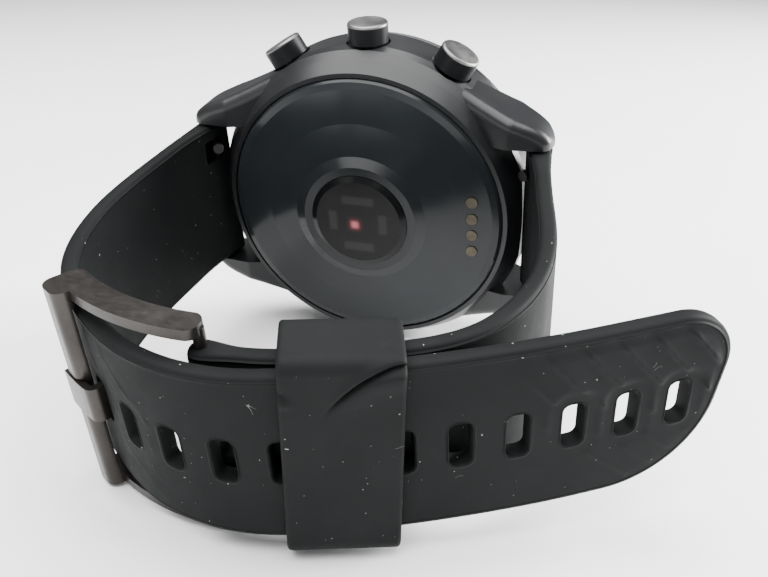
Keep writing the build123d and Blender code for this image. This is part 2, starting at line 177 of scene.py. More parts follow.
def loop_normals(loop):
    """Unit normals of a closed loop of points, to the right of the way it runs."""
    step = np.roll(loop, -1, axis=0) - np.roll(loop, 1, axis=0)
    step /= np.linalg.norm(step, axis=1, keepdims=True)
    return np.stack([step[:, 1], -step[:, 0]], -1)


def resample(points, spacing):
    """A closed polyline's points at an even spacing."""
    p = np.asarray(points, float)
    closed = np.vstack([p, p[:1]])
    lengths = np.concatenate([[0], np.cumsum(np.linalg.norm(np.diff(closed, axis=0), axis=1))])
    count = max(12, int(round(lengths[-1] / spacing)))
    where = np.linspace(0, lengths[-1], count, endpoint=False)
    return np.stack([np.interp(where, lengths, closed[:, k]) for k in (0, 1)], -1)


def rounded_polygon(corners, radii, steps=10):
    """A closed outline with an arc at each corner, points in order."""
    corners = [np.array(c, float) for c in corners]
    out = []
    for i, corner in enumerate(corners):
        before = corners[i - 1] - corner
        after = corners[(i + 1) % len(corners)] - corner
        before /= np.linalg.norm(before)
        after /= np.linalg.norm(after)
        half = math.acos(float(np.clip(before @ after, -1, 1))) / 2
        radius = radii[i]
        if radius <= 0:
            out.append(corner)
            continue
        reach = radius / math.tan(half)
        middle = (before + after) / np.linalg.norm(before + after)
        centre = corner + middle * radius / math.sin(half)
        start = corner + before * reach - centre
        end = corner + after * reach - centre
        turn = math.atan2(start[0] * end[1] - start[1] * end[0], start @ end)
        for k in range(steps + 1):
            a = turn * k / steps
            c, s = math.cos(a), math.sin(a)
            out.append(centre + np.array([c * start[0] - s * start[1], s * start[0] + c * start[1]]))
    return np.array(out)


def is_inside(points, loop):
    """Which points are inside a closed loop."""
    x, y = points[:, 0], points[:, 1]
    inside = np.zeros(len(points), bool)
    ends = np.roll(loop, -1, axis=0)
    for (x0, y0), (x1, y1) in zip(loop, ends):
        if y0 == y1:
            continue
        crosses = (y0 > y) != (y1 > y)
        inside ^= crosses & (x < (x1 - x0) * (y - y0) / (y1 - y0) + x0)
    return inside


def edge_distance(points, edge):
    """Each point's distance from the nearest of the edge points."""
    out = np.empty(len(points))
    for start in range(0, len(points), 2000):
        part = points[start:start + 2000]
        out[start:start + 2000] = np.linalg.norm(part[:, None] - edge[None], axis=2).min(1)
    return out


def fill(outline, holes, spacing):
    """Fills between an outline and its holes: the points, with the loops' first, and the triangles."""
    loops = [outline] + holes
    low, high = outline.min(0), outline.max(0)
    rows = []
    for j, y in enumerate(np.arange(low[1], high[1], spacing * 0.866)):
        x = np.arange(low[0] + (j % 2) * spacing / 2, high[0], spacing)
        rows.append(np.column_stack([x, np.full(len(x), y)]))
    inner = np.concatenate(rows)
    inner = inner[is_inside(inner, outline)]
    for hole in holes:
        inner = inner[~is_inside(inner, hole)]
    edge = np.concatenate(loops)
    inner = inner[edge_distance(inner, edge) > spacing * 0.55]
    points = np.concatenate([edge, inner])
    edges = []
    first = 0
    for loop in loops:
        n = len(loop)
        edges += [(first + i, first + (i + 1) % n) for i in range(n)]
        first += n
    found = delaunay_2d_cdt([Vector(p) for p in points], edges, [], 0, 1e-7)
    new_points = np.array([tuple(v) for v in found[0]])
    triangles = np.array(found[2])
    centres = new_points[triangles].mean(1)
    good = is_inside(centres, outline)
    for hole in holes:
        good &= ~is_inside(centres, hole)
    order = np.full(len(new_points), -1)
    for new, olds in enumerate(found[3]):
        order[new] = olds[0]
    back = np.argsort(order)
    rank = np.empty_like(back)
    rank[back] = np.arange(len(back))
    return new_points[back], rank[triangles[good]]


def slab(route, outline, holes, thickness, edge_r, hole_r, pockets=(), relief=None):
    """A bent slab: outer and inner face, rounded rims round the outline and the through holes, and shallow
    pockets (loop, depth) in the inner face. Returns points in the watch's axes and faces."""
    points, faces = [], []
    count = 0

    def put(flat, h):
        nonlocal count
        flat = np.asarray(flat, float)
        points.append(route.place(flat[:, 0], flat[:, 1], h))
        first = count
        count += len(flat)
        return np.arange(first, count)

    def strip(a, b, flip):
        n = len(a)
        for i in range(n):
            j = (i + 1) % n
            quad = (a[i], a[j], b[j], b[i])
            faces.append(quad[::-1] if flip else quad)

    loops = [outline] + list(holes)
    signs = [1] + [-1] * len(holes)
    radii = [edge_r] + [hole_r] * len(holes)
    normals = [loop_normals(loop) * sign for loop, sign in zip(loops, signs)]
    turns = [math.radians(a) for a in (30, 60, 90)]
    radius_max = max(radii)
    rims = [[] for _ in loops]
    for side in (1, -1):
        insets = []
        lands = []
        for loop, normal, radius in zip(loops, normals, radii):
            r = np.minimum(radius, thickness(loop[:, 0]) * RIM_FULL)
            insets.append(loop - normal * r[:, None])
            lands.append(loop - normal * (r + RIM_LAND)[:, None])
        extra = [loop for loop, depth in pockets] if side < 0 else []
        ridged = relief is not None and side > 0
        flat, triangles = fill(lands[0], lands[1:] + extra, FINE_GRID if ridged else PLAIN_GRID)
        lift = 0
        if ridged:
            room = edge_distance(flat, np.concatenate(loops))
            share = np.clip((room - RIM_LAND - radius_max) / RELIEF_FADE, 0, 1)
            lift = relief(flat) * share * share * (3 - 2 * share)
        ids = put(flat, side * thickness(flat[:, 0]) + lift)
        a, b, c = (flat[triangles[:, k]] for k in range(3))
        left = (b[:, 0] - a[:, 0]) * (c[:, 1] - a[:, 1]) - (b[:, 1] - a[:, 1]) * (c[:, 0] - a[:, 0]) > 0
        for triangle, is_left in zip(triangles, left):
            t = ids[triangle]
            faces.append(tuple(t if is_left == (side < 0) else t[::-1]))
        start = 0
        for k, loop in enumerate(loops):
            rims[k].append(put(insets[k], side * thickness(insets[k][:, 0])))
            strip(rims[k][-1], ids[start:start + len(loop)], (side < 0) == (k > 0))
            start += len(loop)
        for loop, depth in pockets if side < 0 else []:
            rim = ids[start:start + len(loop)]
            start += len(loop)
            lip = loop - loop_normals(loop) * POCKET_LIP
            top = put(lip, -thickness(lip[:, 0]) + POCKET_LIP_DEPTH)
            floor = put(lip, -thickness(lip[:, 0]) + depth)
            strip(rim, top, True)
            strip(top, floor, True)
            faces.append(tuple(floor))
    for k, (loop, normal, radius) in enumerate(zip(loops, normals, radii)):
        r = np.minimum(radius, thickness(loop[:, 0]) * RIM_FULL)
        rings = [rims[k][0]]
        for side in (1, -1):
            for a in turns if side > 0 else turns[::-1]:
                flat = loop - normal * (r * (1 - math.sin(a)))[:, None]
                rings.append(put(flat, side * (thickness(flat[:, 0]) - r * (1 - math.cos(a)))))
        rings.append(rims[k][1])
        for a, b in zip(rings, rings[1:]):
            strip(a, b, signs[k] > 0)
    return np.concatenate(points), faces


# ---------------------------------------------------------------- node material helpers
def new_material(name):
    material = bpy.data.materials.new(name)
    material.use_nodes = True
    tree = material.node_tree
    return material, tree.nodes, tree.links, tree.nodes["Principled BSDF"]


def noise(nodes, links, coords, scale, detail=4.0, roughness=0.55):
    node = nodes.new("ShaderNodeTexNoise")
    node.inputs["Scale"].default_value = scale
    node.inputs["Detail"].default_value = detail
    node.inputs["Roughness"].default_value = roughness
    links.new(coords, node.inputs["Vector"])
    return node.outputs["Fac"]


def ramp(nodes, links, value, low, high, first, second):
    """Two colours or greys, blended as value goes from low to high."""
    node = nodes.new("ShaderNodeValToRGB")
    node.color_ramp.elements[0].position = low
    node.color_ramp.elements[1].position = high
    node.color_ramp.elements[0].color = first if len(first) == 4 else (*first, 1)
    node.color_ramp.elements[1].color = second if len(second) == 4 else (*second, 1)
    links.new(value, node.inputs["Fac"])
    return node.outputs["Color"]


def grey(v):
    return (v, v, v, 1)


def math_node(nodes, links, operation, a, b=None):
    node = nodes.new("ShaderNodeMath")
    node.operation = operation
    for socket, value in zip(node.inputs, (a, b)):
        if value is None:
            continue
        if isinstance(value, (int, float)):
            socket.default_value = value
        else:
            links.new(value, socket)
    return node.outputs[0]


def mix_colour(nodes, links, factor, a, b):
    node = nodes.new("ShaderNodeMix")
    node.data_type = "RGBA"
    links.new(factor, node.inputs["Factor"])
    for socket, value in ((node.inputs["A"], a), (node.inputs["B"], b)):
        if isinstance(value, tuple):
            socket.default_value = value if len(value) == 4 else (*value, 1)
        else:
            links.new(value, socket)
    return node.outputs["Result"]


def bump(nodes, links, shader, height, strength, distance):
    node = nodes.new("ShaderNodeBump")
    node.inputs["Strength"].default_value = strength
    node.inputs["Distance"].default_value = distance
    links.new(height, node.inputs["Height"])
    links.new(node.outputs["Normal"], shader.inputs["Normal"])


def object_coords(nodes):
    return nodes.new("ShaderNodeTexCoord").outputs["Object"]


def plain_surface(name, dark, light, rough, metallic=0.0, gloss=0.3, depth=0.00001, blotch=90.0):
    """A moulded or machined surface: slow colour variation, uneven roughness and a fine grain."""
    material, nodes, links, shader = new_material(name)
    coords = object_coords(nodes)
    slow = noise(nodes, links, coords, blotch)
    fine = noise(nodes, links, coords, 2500.0, 2.0)
    links.new(ramp(nodes, links, slow, 0.3, 0.7, dark, light), shader.inputs["Base Color"])
    worn = ramp(nodes, links, slow, 0.25, 0.75, grey(rough[0]), grey(rough[1]))
    links.new(worn, shader.inputs["Roughness"])
    shader.inputs["Metallic"].default_value = metallic
    shader.inputs["Specular IOR Level"].default_value = gloss
    bump(nodes, links, shader, fine, 0.5, depth)
    return material


def scatter(nodes, links, coords, scale, share):
    """Random cells: 1 in the chosen ones, each cell's own random value, and the distance from its middle."""
    cells = nodes.new("ShaderNodeTexVoronoi")
    cells.inputs["Scale"].default_value = scale
    links.new(coords, cells.inputs["Vector"])
    pick = nodes.new("ShaderNodeSeparateColor")
    links.new(cells.outputs["Color"], pick.inputs["Color"])
    chosen = math_node(nodes, links, "GREATER_THAN", pick.outputs["Red"], share)
    return chosen, pick.outputs["Green"], cells.outputs["Distance"]


def dust(nodes, links, coords):
    """Ragged specks of three sizes."""
    ragged = nodes.new("ShaderNodeTexNoise")
    ragged.inputs["Scale"].default_value = 1500.0
    links.new(coords, ragged.inputs["Vector"])
    bend = nodes.new("ShaderNodeVectorMath")
    bend.operation = "MULTIPLY_ADD"
    links.new(ragged.outputs["Color"], bend.inputs[0])
    bend.inputs[1].default_value = (0.0007, 0.0007, 0.0007)
    links.new(coords, bend.inputs[2])
    specks = None
    for scale, share, size in ((900.0, 0.66, 0.08), (1600.0, 0.85, 0.11), (380.0, 0.93, 0.05)):
        chosen, own, distance = scatter(nodes, links, bend.outputs["Vector"], scale, share)
        reach = math_node(nodes, links, "MULTIPLY", own, size)
        near = math_node(nodes, links, "LESS_THAN", distance, reach)
        mark = math_node(nodes, links, "MULTIPLY", chosen, near)
        specks = mark if specks is None else math_node(nodes, links, "MAXIMUM", specks, mark)
    return specks


def fibres(nodes, links, coords):
    """Short thin curved hairs, along a noise's middle value inside a few cells."""
    strand = math_node(nodes, links, "SUBTRACT", noise(nodes, links, coords, 620.0, 1.0), 0.5)
    thin = math_node(nodes, links, "LESS_THAN", math_node(nodes, links, "ABSOLUTE", strand), 0.006)
    chosen, _, distance = scatter(nodes, links, coords, 230.0, 0.86)
    near = math_node(nodes, links, "LESS_THAN", distance, 0.15)
    return math_node(nodes, links, "MULTIPLY", math_node(nodes, links, "MULTIPLY", chosen, near), thin)


def silicone(name):
    """Matte black silicone with a bloom, fine grain, and white dust and fibres."""
    material, nodes, links, shader = new_material(name)
    coords = object_coords(nodes)
    slow = noise(nodes, links, coords, 70.0, 5.0)
    base = ramp(nodes, links, slow, 0.3, 0.72, (0.0072, 0.0078, 0.008), (0.0102, 0.0108, 0.011))
    smear = noise(nodes, links, coords, 260.0, 6.0, 0.7)
    bloom = ramp(nodes, links, smear, 0.6, 0.85, grey(0), grey(0.5))
    base = mix_colour(nodes, links, bloom, base, (0.017, 0.018, 0.0182))
    hairs = math_node(nodes, links, "MULTIPLY", fibres(nodes, links, coords), 0.5)
    base = mix_colour(nodes, links, hairs, base, (0.2, 0.2, 0.19))
    specks = dust(nodes, links, coords)
    white = math_node(nodes, links, "MULTIPLY", specks, 0.8)
    base = mix_colour(nodes, links, white, base, (0.33, 0.33, 0.31))
    links.new(base, shader.inputs["Base Color"])
    rough = ramp(nodes, links, smear, 0.3, 0.8, grey(0.5), grey(0.66))
    links.new(rough, shader.inputs["Roughness"])
    shader.inputs["Specular IOR Level"].default_value = 0.04
    fine = noise(nodes, links, coords, 5200.0, 2.0)
    height = math_node(nodes, links, "ADD", fine, math_node(nodes, links, "MULTIPLY", specks, 3.0))
    bump(nodes, links, shader, height, 0.35, 0.00002)
    return material


def gunmetal(name):
    """Dark brown-grey coated steel, brushed along its length, rubbed brighter here and there."""
    material, nodes, links, shader = new_material(name)
    coords = object_coords(nodes)
    stretch = nodes.new("ShaderNodeMapping")
    stretch.inputs["Scale"].default_value = (1.0, 1.0, 9.0)
    links.new(coords, stretch.inputs["Vector"])
    brushed = noise(nodes, links, stretch.outputs["Vector"], 900.0, 3.0)
    slow = noise(nodes, links, coords, 160.0, 5.0)
    base = ramp(nodes, links, slow, 0.3, 0.75, (0.03, 0.0275, 0.0255), (0.055, 0.05, 0.046))
    links.new(base, shader.inputs["Base Color"])
    links.new(ramp(nodes, links, brushed, 0.25, 0.8, grey(0.26), grey(0.4)), shader.inputs["Roughness"])
    shader.inputs["Metallic"].default_value = 0.9
    bump(nodes, links, shader, brushed, 0.25, 0.00001)
    return material


SILICONE = silicone("silicone")
CASE = plain_surface("case_polymer", (0.006, 0.0065, 0.0072), (0.0095, 0.01, 0.011), (0.28, 0.4),
                     depth=0.000008)
BACK = plain_surface("back_polymer", (0.0112, 0.013, 0.0142), (0.0138, 0.0164, 0.0178), (0.14, 0.2),
                     gloss=0.21, depth=0.000001)
BEZEL = plain_surface("bezel_coat", (0.02, 0.02, 0.022), (0.035, 0.035, 0.038), (0.22, 0.34), metallic=0.6)
GUNMETAL = gunmetal("gunmetal")
BAR = plain_surface("bar_steel", (0.02, 0.02, 0.02), (0.04, 0.04, 0.04), (0.4, 0.55), metallic=1.0)
GOLD = plain_surface("gold_contact", (0.035, 0.031, 0.023), (0.08, 0.071, 0.051), (0.35, 0.5),
                     metallic=0.8, blotch=900.0)
RUBBER = plain_surface("seal_rubber", (0.015, 0.015, 0.015), (0.025, 0.025, 0.025), (0.5, 0.7))
STEEL = plain_surface("plain_steel", (0.5, 0.5, 0.5), (0.62, 0.62, 0.62), (0.25, 0.4), metallic=1.0)
BOARD = plain_surface("board", (0.012, 0.07, 0.045), (0.02, 0.1, 0.06), (0.3, 0.5))
CHIP = plain_surface("chip", (0.02, 0.02, 0.02), (0.035, 0.035, 0.035), (0.35, 0.5))
FOIL = plain_surface("battery_foil", (0.45, 0.46, 0.48), (0.6, 0.61, 0.63), (0.3, 0.5), metallic=0.8)
FILM = plain_surface("flex_print", (0.3, 0.16, 0.04), (0.4, 0.22, 0.06), (0.35, 0.5))
CERAMIC = plain_surface("aerial_ceramic", (0.65, 0.6, 0.5), (0.75, 0.7, 0.6), (0.5, 0.65))
FRAME_GREY = plain_surface("frame_polymer", (0.06, 0.06, 0.06), (0.09, 0.09, 0.09), (0.4, 0.55))


def glass_material():
    material, nodes, links, shader = new_material("cover_glass")
    coords = object_coords(nodes)
    slow = noise(nodes, links, coords, 120.0)
    links.new(ramp(nodes, links, slow, 0.3, 0.7, (0.006, 0.0065, 0.007), (0.009, 0.0095, 0.01)),
              shader.inputs["Base Color"])
    links.new(ramp(nodes, links, slow, 0.3, 0.8, grey(0.03), grey(0.09)), shader.inputs["Roughness"])
    shader.inputs["Specular IOR Level"].default_value = 0.5
    return material


def towards(nodes, links, coords, direction, origin):
    """Distance of a point along a direction from an origin, in mm."""
    shift = nodes.new("ShaderNodeVectorMath")
    shift.operation = "SUBTRACT"
    links.new(coords, shift.inputs[0])
    shift.inputs[1].default_value = origin
    dot = nodes.new("ShaderNodeVectorMath")
    dot.operation = "DOT_PRODUCT"
    links.new(shift.outputs["Vector"], dot.inputs[0])
    dot.inputs[1].default_value = Vector(direction) / MM
    return dot.outputs["Value"]


def spot(nodes, links, along, across, centre, half, soft):
    """1 inside a soft-edged rectangle of the watch's X and Z, and 0 outside, in mm."""
    parts = []
    for value, middle, reach in ((along, centre[0], half[0]), (across, centre[1], half[1])):
        gap = math_node(nodes, links, "ABSOLUTE", math_node(nodes, links, "SUBTRACT", value, middle))
        node = nodes.new("ShaderNodeMapRange")
        node.interpolation_type = "SMOOTHSTEP"
        node.inputs["From Min"].default_value = reach + soft
        node.inputs["From Max"].default_value = reach - soft
        links.new(gap, node.inputs["Value"])
        parts.append(node.outputs["Result"])
    return math_node(nodes, links, "MULTIPLY", parts[0], parts[1])


# the windows' middles and half sizes, and the red light's middle, in the watch's X and Z, mm
SENSOR_WINDOWS = [((0.1, 3.4), (2.3, 0.6)), ((-0.1, -3.9), (2.2, 0.65)), ((-3.7, 0.0), (0.6, 1.5)),
                  ((3.6, 0.0), (0.6, 1.5))]
RED_LIGHT = (-0.5, -0.4)


def sensor_material():
    """Dark glass over the sensor, with its four windows and the red light in the middle; the light's glow is
    painted into the colour as a bright core and a soft red halo on the glass round it.
    """
    material, nodes, links, shader = new_material("sensor_window")
    coords = object_coords(nodes)
    along = towards(nodes, links, coords, X_DIR, WATCH.translation)
    across = towards(nodes, links, coords, Z_DIR, WATCH.translation)
    slow = noise(nodes, links, coords, 300.0)
    colour = ramp(nodes, links, slow, 0.3, 0.7, (0.004, 0.0042, 0.0045), (0.007, 0.0072, 0.0075))
    for centre, half in SENSOR_WINDOWS:
        mask = math_node(nodes, links, "MULTIPLY", spot(nodes, links, along, across, centre, half, 0.25), 0.8)
        colour = mix_colour(nodes, links, mask, colour, (0.022, 0.022, 0.021))
    # painted glow: a soft red halo round the red light and a bright core, colour standing in for its light
    painted_glow_halo = spot(nodes, links, along, across, RED_LIGHT, (0.75, 0.75), 0.7)
    colour = mix_colour(nodes, links, painted_glow_halo, colour, (0.1, 0.02, 0.024))
    painted_glow_core = spot(nodes, links, along, across, RED_LIGHT, (0.5, 0.5), 0.35)
    colour = mix_colour(nodes, links, painted_glow_core, colour, (0.42, 0.13, 0.15))
    links.new(colour, shader.inputs["Base Color"])
    links.new(ramp(nodes, links, slow, 0.3, 0.8, grey(0.1), grey(0.2)), shader.inputs["Roughness"])
    shader.inputs["Specular IOR Level"].default_value = 0.12
    return material


BUTTON_Y = 6.6                # the buttons' line above the back cover's rim, mm
BUTTON_FACE = 25.2            # the metal begins this far from the watch's middle
METAL_EDGE = 8.0              # how sharply it begins, per mm


def button_material(name):
    """Bead-blasted metal on the cap's end, near-black sides."""
    material, nodes, links, shader = new_material(name)
    coords = object_coords(nodes)
    axis = -Vector(JOINTS[f"{name}_press"]["axis"])
    height = towards(nodes, links, coords, axis, WATCH.translation + Y_DIR * BUTTON_Y * MM)
    edge = math_node(nodes, links, "SUBTRACT", height, BUTTON_FACE)
    face = math_node(nodes, links, "MULTIPLY", edge, METAL_EDGE)
    clamp = nodes.new("ShaderNodeClamp")
    links.new(face, clamp.inputs["Value"])
    slow = noise(nodes, links, coords, 400.0)
    metal = ramp(nodes, links, slow, 0.3, 0.7, (0.13, 0.13, 0.13), (0.2, 0.2, 0.195))
    base = mix_colour(nodes, links, clamp.outputs[0], (0.006, 0.0065, 0.007), metal)
    links.new(base, shader.inputs["Base Color"])
    links.new(clamp.outputs[0], shader.inputs["Metallic"])
    links.new(ramp(nodes, links, slow, 0.3, 0.7, grey(0.34), grey(0.46)), shader.inputs["Roughness"])
    shader.inputs["Specular IOR Level"].default_value = 0.09
    bump(nodes, links, shader, noise(nodes, links, coords, 3500.0, 2.0), 0.4, 0.00001)
    return material


def paint(node, material):
    """Gives a CAD node its material."""
    obj = frame["nodes"][node]
    for slot in obj.material_slots:
        slot.link = "OBJECT"
        slot.material = material


# ---------------------------------------------------------------- CAD nodes' materials
NODE_MATERIALS = {
    "mid_case": CASE, "bezel_ring": BEZEL, "back_cover": BACK,
    "glass_gasket": RUBBER, "back_cover_seal": RUBBER, "button_seals": RUBBER, "charging_contacts": GOLD,
    "sensor_board": BOARD, "main_board": BOARD, "sensor_photodiode": CHIP, "sensor_leds": CHIP,
    "processor": CHIP, "inner_frame": FRAME_GREY, "frame_screws": STEEL, "shield_can": STEEL,
    "gps_aerial": CERAMIC, "battery": FOIL, "vibration_motor": STEEL, "button_switches": STEEL,
    "display_flex": FILM, "buckle_frame": GUNMETAL, "buckle_pin": GUNMETAL, "buckle_tongue": GUNMETAL,
}
for node, material in NODE_MATERIALS.items():
    paint(node, material)
paint("sensor_window", sensor_material())
GLASS = glass_material()
paint("cover_glass", GLASS)
paint("display_panel", GLASS)
for name in ("button_upper", "button_middle", "button_lower"):
    paint(name, button_material(name))
    paint(f"{name}_clip", STEEL)
for hour in ("six_oclock", "twelve_oclock"):
    for piece in ("tube", "fixed_pin", "release"):
        paint(f"{hour}_bar_{piece}", BAR)


def round_edges(node, width):
    """Rounds a CAD node's sharp edges with a modifier, and smooths its shading."""
    obj = frame["nodes"][node]
    for polygon in obj.data.polygons:
        polygon.use_smooth = True
    bevel = obj.modifiers.new("edges", "BEVEL")
    bevel.width = width * MM
    bevel.segments = 3
    bevel.limit_method = "ANGLE"
    bevel.angle_limit = math.radians(38)
    bevel.harden_normals = True


for node, width in (("buckle_frame", 0.35), ("buckle_tongue", 0.12)):
    round_edges(node, width)


# ---------------------------------------------------------------- straps
def strap_half_width(s):
    """Half width of a strap at a length from its spring bar: it tapers from the lugs to the loop."""
    return np.interp(s, TAPER, [STRAP_W / 2, LOOP_W / 2])


def lug_thickness(s):
    """Half thickness near the lug end, round about the spring bar."""
    swell = np.clip(1 - s / THICK_END, 0, 1)
    half = STRAP_T / 2 + (LUG_END_R - 0.15 - STRAP_T / 2) * swell ** 2
    cap = np.sqrt(np.maximum(LUG_END_R ** 2 - np.minimum(s, 0) ** 2, 0.0025))
    return np.where(s < 0, np.minimum(cap, LUG_END_R), half)


def lug_end():
    """A strap's outline from its upper edge round the lug end to its lower edge."""
    wide = STRAP_W / 2
    step = 1.2
    start, stop = TAPER
    s = np.arange(stop, start, -step)
    upper = np.column_stack([s, strap_half_width(s)])
    end = -LUG_END_R + 0.02
    corners = rounded_polygon([(start, wide), (end, wide), (end, -wide), (start, -wide)],
                              [0, LUG_CORNER_R, LUG_CORNER_R, 0], 8)
    return np.vstack([upper, corners, upper[::-1] * (1, -1)])


HOLE_ROUTE = Route(HOLE_SIDE_LINE)
BUCKLE_ROUTE = Route(BUCKLE_SIDE_LINE)


def hole_loop(s):
    """A buckle hole's outline where it is narrowest, inside its rounded rims."""
    long = HOLE[0] / 2 - HOLE_EDGE_R
    high = HOLE[1] / 2 - HOLE_EDGE_R
    corners = [(s - long, -high), (s + long, -high), (s + long, high), (s - long, high)]
    return resample(rounded_polygon(corners, [HOLE_CORNER_R] * 4, 5), 0.36)


def hole_strap_outline():
    length = HOLE_ROUTE.length
    low = LOOP_W / 2
    tip = rounded_polygon([(PLAIN_FROM, -low), (length - TIP_SLANT, -low), (length, low), (PLAIN_FROM, low)],
                          [0, TIP_R[1], TIP_R[0], 0], 24)
    return resample(np.vstack([lug_end(), tip]), 0.55)


RIDGE_PITCH = 3.65
RIDGE_HEIGHT = 0.36
RIDGE_CLIMB = 0.16            # share of the pitch over which a ridge climbs
RIDGE_SLANT = 0.72            # how far a ridge runs towards the tip for each mm down the strap
RIDGE_CURVE = 0.012
CREST_HEIGHT = 0.6            # of the thin line on top, as a share of the ridge
CREST_WIDTH = 0.08            # and of the pitch
TAIL_RIDGES = 92.1            # where the first ridges meet the strap's upper edge
BUCKLE_RIDGES = 43.0
TAIL_PLAIN = 97.0             # the tail's ridges rise beyond this length, and the buckle's end at the next
BUCKLE_PLAIN = 64.0
RIDGE_BLEND = 6.0
BUCKLE_RIDGE_SHARE = 0.4      # height of the ridges by the buckle as a share of the tail's
CROSSBAR_END = 50.5           # the buckle's crossbar lies over the strap up to here


def ridges(s, down, start, count, fade):
    """Height of a row of slanting ridges: each climbs fast to a thin crest and falls slowly to the next."""
    lift = np.zeros(len(s))
    for k in range(count):
        crest = start + RIDGE_PITCH * k + RIDGE_SLANT * down + RIDGE_CURVE * down ** 2
        past = (s - crest) / RIDGE_PITCH
        climb = np.clip(past / RIDGE_CLIMB + 1, 0, 1)
        fall = np.clip(1 - past, 0, 1)
        lift += np.where(past < 1, climb * fall, 0) * fade
        lift += CREST_HEIGHT * fade * np.exp(-(past / CREST_WIDTH) ** 2)
    return RIDGE_HEIGHT * lift


def hole_strap_relief(flat):
    """Slanting ridges on the tail, and fainter ones by the buckle."""
    s, w = flat[:, 0], flat[:, 1]
    down = LOOP_W / 2 - w
    upper = 0.2 + 0.8 * np.clip((w + 2.5) / 4.0, 0, 1)      # weaker below the holes
    tail = ridges(s, down, TAIL_RIDGES, 7, upper * np.clip((s - TAIL_PLAIN) / RIDGE_BLEND, 0, 1))
    clear = np.clip((s - CROSSBAR_END) / 2, 0, 1) * np.clip((BUCKLE_PLAIN - s) / RIDGE_BLEND, 0, 1)
    near = ridges(s, down, BUCKLE_RIDGES, 4, upper * clear)
    return tail + BUCKLE_RIDGE_SHARE * near


first_hole = HOLE_ROUTE.nearest(TONGUE_HOLE)
STRAP_HOLES = [hole_loop(first_hole + i * HOLE_PITCH) for i in range(-HOLES_TO_LUG, HOLES_TO_TIP + 1)]


def release_pocket():
    """Slot in a strap's inner face, over the quick-release knob."""
    (s, w), (long, high) = SLOT_AT, SLOT_HALF
    corners = [(s - long, w - high), (s + long, w - high), (s + long, w + high), (s - long, w + high)]
    return resample(rounded_polygon(corners, [SLOT_CORNER_R] * 4, 4), 0.4)


points, faces = slab(HOLE_ROUTE, hole_strap_outline(), STRAP_HOLES, lug_thickness, EDGE_R, HOLE_EDGE_R,
                     pockets=[(release_pocket(), SLOT_DEPTH)], relief=hole_strap_relief)
hole_strap = make_object("hole_strap_silicone", to_row(points), faces, "hole_strap", SILICONE)
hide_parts("strap_hole_side")


def buckle_strap_thickness(s):
    near = BUCKLE_ROUTE.length - s
    swell = np.clip(1 - near / KNUCKLE_BLEND, 0, 1)
    swell = swell * swell * (3 - 2 * swell)
    cap = np.sqrt(np.maximum(KNUCKLE_R ** 2 - np.minimum(near, 0) ** 2, 0.0025))
    half = lug_thickness(s) + (KNUCKLE_R - STRAP_T / 2) * swell
    return np.where(near < 0, cap, half)


def buckle_strap_outline():
    end = BUCKLE_ROUTE.length + KNUCKLE_R - 0.02
    low = LOOP_W / 2
    deep, notch = KNUCKLE_NOTCH
    far = [(PLAIN_FROM, -low), (end, -low), (end, -notch), (end - deep, -notch), (end - deep, notch),
           (end, notch), (end, low), (PLAIN_FROM, low)]
    tip = rounded_polygon(far, [0, 0.8, 0.7, 0.9, 0.9, 0.7, 0.8, 0], 6)
    return resample(np.vstack([lug_end(), tip]), 0.5)


points, faces = slab(BUCKLE_ROUTE, buckle_strap_outline(), [], buckle_strap_thickness, EDGE_R, HOLE_EDGE_R,
                     pockets=[(release_pocket(), SLOT_DEPTH)])
buckle_strap = make_object("buckle_strap_silicone", to_row(points), faces, "buckle_strap", SILICONE)
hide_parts("strap_buckle_side")


# ---------------------------------------------------------------- keeper
KEEPER_AT = np.array([12.4, -44.5])
KEEPER_ANGLE = math.radians(20.0)       # of the straps there, in plan
KEEPER_LEAN = math.radians(3.5)         # it sits a little askew on them
KEEPER_LEN = 11.6
KEEPER_WALL = 0.9
KEEPER_ROOM = 2.9                       # half the space between its front and back walls
KEEPER_HALF = 12.7
KEEPER_CORNERS = [1.2, 2.4, 1.5, 1.0]
CREASE_ZONE = 6.5                       # the crease stays within this much of the top


def crease_relief(u, down):
    """How far the keeper's front wall is pushed out, at u of its half length and this far below its top."""
    # the crease runs down the front wall from its top right corner, under the folded top wall
    crease = 0.7 + 3.9 * np.clip((1 - u) / 1.1, 0, 1.3) ** 2
    reach = np.clip((u + 0.3) / 0.35, 0, 1)
    gap = down - crease
    # a sharp groove, the swollen lip below it, the fold above it, and a pinch by the left edge
    groove = -0.75 * np.exp(-(gap / 0.2) ** 2) * reach
    lip = 0.5 * np.exp(-np.where(gap > 0.7, (gap - 0.7) / 1.6, (gap - 0.7) / 0.45) ** 2) * reach
    lip *= np.clip(0.35 + u, 0, 1)
    fold = 0.25 * np.exp(-((gap + 0.7) / 0.5) ** 2) * reach
    pinch = -0.5 * np.exp(-((u + 0.97) / 0.1) ** 2 - ((down - 3.6) / 0.45) ** 2)
    pinch += 0.22 * np.exp(-((u + 0.9) / 0.12) ** 2 - ((down - 4.5) / 0.5) ** 2)
    return groove + lip + fold + pinch


